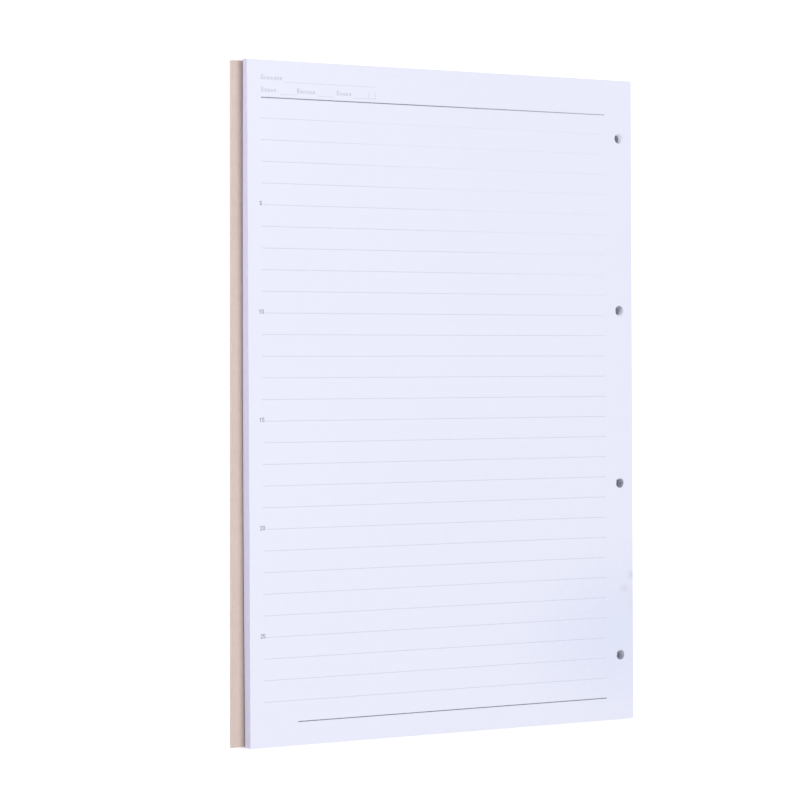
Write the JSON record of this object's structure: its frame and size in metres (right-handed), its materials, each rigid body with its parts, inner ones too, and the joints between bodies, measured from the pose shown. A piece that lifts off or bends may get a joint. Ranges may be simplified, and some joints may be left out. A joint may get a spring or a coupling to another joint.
{
  "type": "binder refill paper",
  "caption": "Pad of loose ruled A4 sheets, punched along one long edge for a ring binder, lying on a slightly wider kraft backing board.",
  "frame": {"origin": "centre of the outline at the underside of the backing board", "axes": "+Z out of the printed face, +Y towards the head of the sheets, +X towards the punched long edge"},
  "size_m": [0.2162, 0.297, 0.0054],
  "materials": {
    "kraft_board": "matte, uncoated, fine fibre",
    "writing_paper": "matte, uncoated, bright bluish white",
    "pale_line_ink": "matte pale grey print",
    "dark_rule_ink": "matte dark grey print",
    "number_ink": "matte dark grey print",
    "header_ink": "matte pale blue-grey print"
  },
  "bodies": {
    "root": {"backing_board": "kraft_board", "sheet_stack": "writing_paper", "writing_lines": "pale_line_ink", "head_foot_rules": "dark_rule_ink", "line_numbers": "number_ink", "header_fields": "header_ink"}
  },
  "joints": []
}
